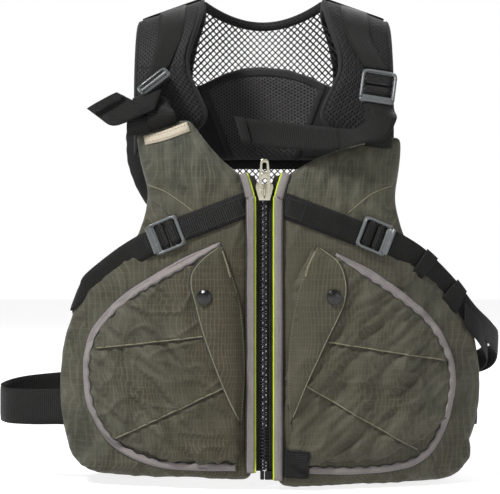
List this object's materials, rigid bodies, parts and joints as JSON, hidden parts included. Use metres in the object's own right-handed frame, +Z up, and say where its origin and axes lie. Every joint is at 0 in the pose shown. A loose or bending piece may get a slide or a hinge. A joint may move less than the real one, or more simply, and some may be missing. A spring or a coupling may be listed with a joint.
{
  "type": "life jacket",
  "caption": "Front-zip foam life jacket with padded shoulders, a high mesh back, two leaf-shaped pocket flaps and ladder-buckle webbing.",
  "frame": {"origin": "on the line of the zip at the height of the lower hem, midway between the front and the back", "axes": "+Z up with the jacket standing as worn, -Y towards the wearer's front, +X towards the wearer's left"},
  "size_m": [0.5498, 0.2477, 0.5312],
  "materials": {
    "black_mesh": "matte",
    "closed_cell_foam": "matte",
    "grey_acetal": "satin",
    "grey_binding": "matte",
    "lime_piping": "satin",
    "liner_nylon": "matte",
    "moulded_teeth": "gloss",
    "olive_ripstop": "matte",
    "reflective": "satin",
    "slider_metal": "satin",
    "snap_black": "gloss",
    "snap_post": "satin",
    "webbing": "satin",
    "zip_tape": "matte"
  },
  "bodies": {
    "back": {"back_cover": "liner_nylon", "back_foam": "closed_cell_foam", "back_air_mesh": "black_mesh", "lower_back_net": "black_mesh", "back_hem_band": "webbing", "neck_net": "black_mesh", "neck_binding": "liner_nylon", "back_lining": "liner_nylon", "back_wings": "liner_nylon", "right_shoulder_pad": "black_mesh", "right_shoulder_webbing": "webbing", "right_side_strap": "webbing", "right_waist_belt": "webbing", "right_shoulder_strap": "webbing", "left_shoulder_pad": "black_mesh", "left_shoulder_webbing": "webbing", "left_side_strap": "webbing", "left_waist_belt": "webbing", "left_shoulder_strap": "webbing"},
    "right_front": {"right_front_cover": "olive_ripstop", "right_front_foam": "closed_cell_foam", "right_front_lining": "liner_nylon", "right_placket_tape": "grey_binding", "right_placket_piping": "lime_piping", "right_reflective_tape": "reflective", "right_pocket": "olive_ripstop", "right_pocket_binding": "grey_binding", "right_snap_post": "snap_post", "right_zip_tape": "zip_tape", "right_zip_teeth": "moulded_teeth", "right_chest_strap": "webbing", "zip_pin": "moulded_teeth"},
    "right_flap": {"right_pocket_flap": "olive_ripstop", "right_snap_cap": "snap_black"},
    "right_chest_lock": {"right_chest_buckle": "grey_acetal", "right_chest_web": "webbing"},
    "right_shoulder_lock": {"right_shoulder_buckle": "grey_acetal"},
    "right_tail": {"right_strap_tail": "webbing"},
    "left_front": {"left_front_cover": "olive_ripstop", "left_front_foam": "closed_cell_foam", "left_front_lining": "liner_nylon", "left_placket_tape": "grey_binding", "left_placket_piping": "lime_piping", "left_pocket": "olive_ripstop", "left_pocket_binding": "grey_binding", "left_snap_post": "snap_post", "left_zip_tape": "zip_tape", "left_zip_teeth": "moulded_teeth", "left_chest_strap": "webbing", "zip_box": "moulded_teeth", "hem_tab": "webbing"},
    "left_flap": {"left_pocket_flap": "olive_ripstop", "left_snap_cap": "snap_black"},
    "left_chest_lock": {"left_chest_buckle": "grey_acetal", "left_chest_web": "webbing"},
    "left_shoulder_lock": {"left_shoulder_buckle": "grey_acetal"},
    "left_tail": {"left_strap_tail": "webbing"},
    "slider": {"zip_slider": "slider_metal"},
    "pull": {"zip_pull": "slider_metal"}
  },
  "joints": [
    {"name": "right_front_open", "type": "hinge", "parent": "back", "child": "right_front", "pos_m": [-0.205, -0.062, 0.06], "axis": [-0.222, 0, -0.975], "range_deg": [0, 40], "deforming": ["right_side_strap", "right_waist_belt", "right_shoulder_strap", "right_zip_teeth", "left_zip_teeth"]},
    {"name": "left_front_open", "type": "hinge", "parent": "back", "child": "left_front", "pos_m": [0.21858, -0.062, 0.06], "axis": [-0.2367, 0, 0.9716], "range_deg": [0, 40], "deforming": ["left_side_strap", "left_waist_belt", "left_shoulder_strap", "right_zip_teeth", "left_zip_teeth", "left_strap_tail"]},
    {"name": "zip_slide", "type": "slide", "parent": "left_front", "child": "slider", "axis": [0, 0, -1], "range_m": [0, 0.28], "deforming": ["right_zip_teeth", "left_zip_teeth"]},
    {"name": "zip_pull_swing", "type": "hinge", "parent": "slider", "child": "pull", "pos_m": [0, -0.1168, 0.3095], "axis": [1, 0, 0], "range_deg": [0, 170]},
    {"name": "right_flap_open", "type": "hinge", "parent": "right_front", "child": "right_flap", "pos_m": [-0.026, -0.12756, 0.067], "axis": [-0.1058, 0.0089, 0.9943], "range_deg": [0, 110]},
    {"name": "left_flap_open", "type": "hinge", "parent": "left_front", "child": "left_flap", "pos_m": [0.02705, -0.1275, 0.067], "axis": [-0.1131, -0.01, -0.9935], "range_deg": [0, 110]},
    {"name": "right_chest_buckle_tilt", "type": "hinge", "parent": "right_front", "child": "right_chest_lock", "pos_m": [-0.08805, -0.11413, 0.26981], "axis": [-0.3637, 0.0899, 0.9272], "range_deg": [0, 40], "deforming": ["right_side_strap"]},
    {"name": "left_chest_buckle_tilt", "type": "hinge", "parent": "left_front", "child": "left_chest_lock", "pos_m": [0.10117, -0.11114, 0.26881], "axis": [-0.3606, -0.1013, -0.9272], "range_deg": [0, 40], "deforming": ["left_side_strap"]},
    {"name": "right_shoulder_buckle_tilt", "type": "hinge", "parent": "back", "child": "right_shoulder_lock", "pos_m": [-0.12209, -0.06292, 0.44028], "axis": [-0.866, 0, -0.5], "range_deg": [0, 30], "deforming": ["right_shoulder_strap"]},
    {"name": "left_shoulder_buckle_tilt", "type": "hinge", "parent": "back", "child": "left_shoulder_lock", "pos_m": [0.12357, -0.06668, 0.43724], "axis": [-0.9877, 0, 0.1564], "range_deg": [0, 30], "deforming": ["left_shoulder_strap"]},
    {"name": "right_tail_swing", "type": "hinge", "parent": "right_shoulder_lock", "child": "right_tail", "pos_m": [-0.127, -0.101, 0.404], "axis": [0.866, 0, 0.5], "range_deg": [0, 40]},
    {"name": "left_tail_swing", "type": "hinge", "parent": "left_front", "child": "left_tail", "pos_m": [0.078, -0.123, 0.364], "axis": [-0.0702, 0.6317, 0.772], "range_deg": [0, 40]}
  ]
}
